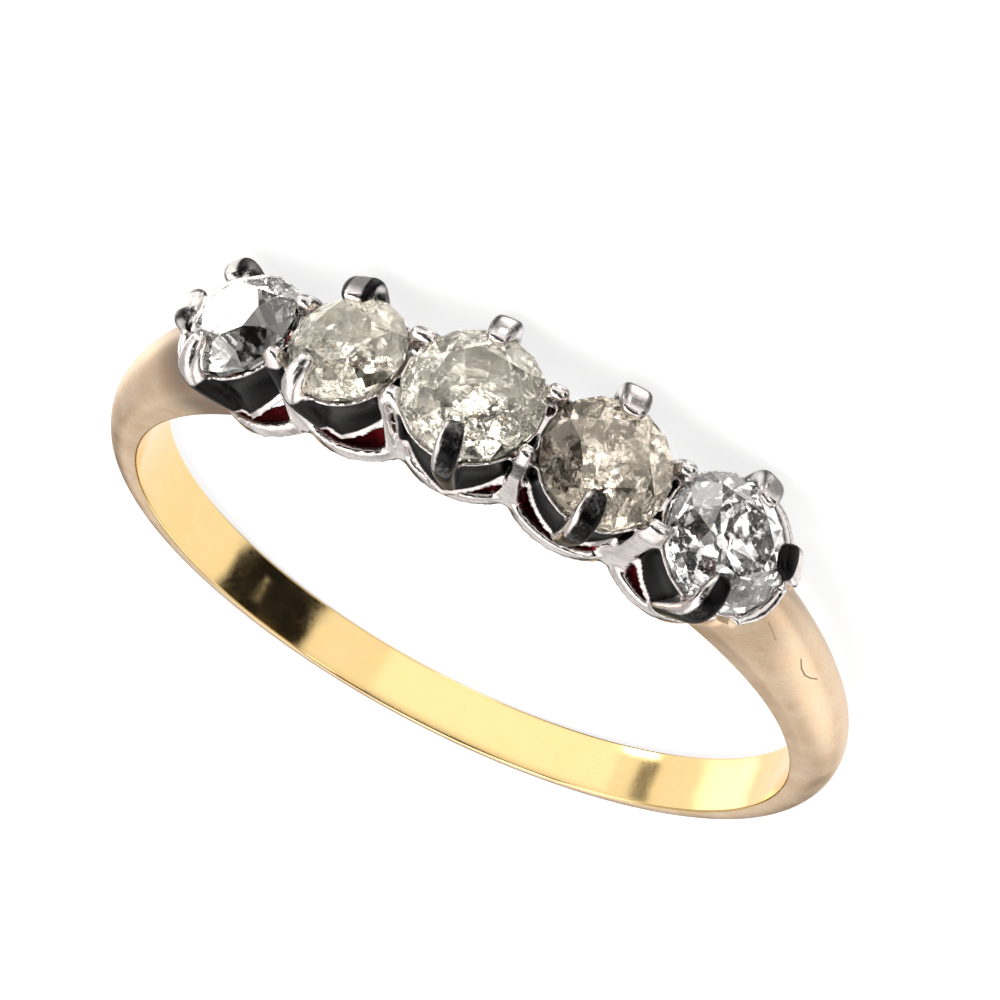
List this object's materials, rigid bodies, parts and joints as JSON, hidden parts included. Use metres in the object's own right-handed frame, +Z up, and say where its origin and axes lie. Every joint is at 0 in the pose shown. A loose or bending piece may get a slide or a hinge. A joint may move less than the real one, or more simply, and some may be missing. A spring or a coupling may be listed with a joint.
{
  "type": "five stone ring",
  "caption": "Half hoop finger ring: round faceted stones in a row of claw coronets on a gold shank that swells into shoulders.",
  "frame": {"origin": "under the middle of the ring's box, on the surface that the ring lies on", "axes": "+Z up, with the ring lying on its far side; -Y towards the head with its stones; +X towards the smaller end stone"},
  "size_m": [0.019, 0.0206, 0.0035],
  "materials": {
    "shank_gold": "worn yellow gold with a faint pink cast, polished inside the finger hole",
    "setting_metal": "worn white metal, bright on edges and claw tips, dark in the scoops",
    "stone_1": "clear old cut stone",
    "stone_2": "old cut stone with cloudy inclusions",
    "stone_3": "old cut stone with cloudy inclusions",
    "stone_4": "old cut stone with a light brown tint",
    "stone_5": "clear old cut stone"
  },
  "bodies": {
    "root": {"shank": "shank_gold", "setting": "setting_metal", "stone_1": "stone_1", "stone_2": "stone_2", "stone_3": "stone_3", "stone_4": "stone_4", "stone_5": "stone_5"}
  },
  "joints": []
}
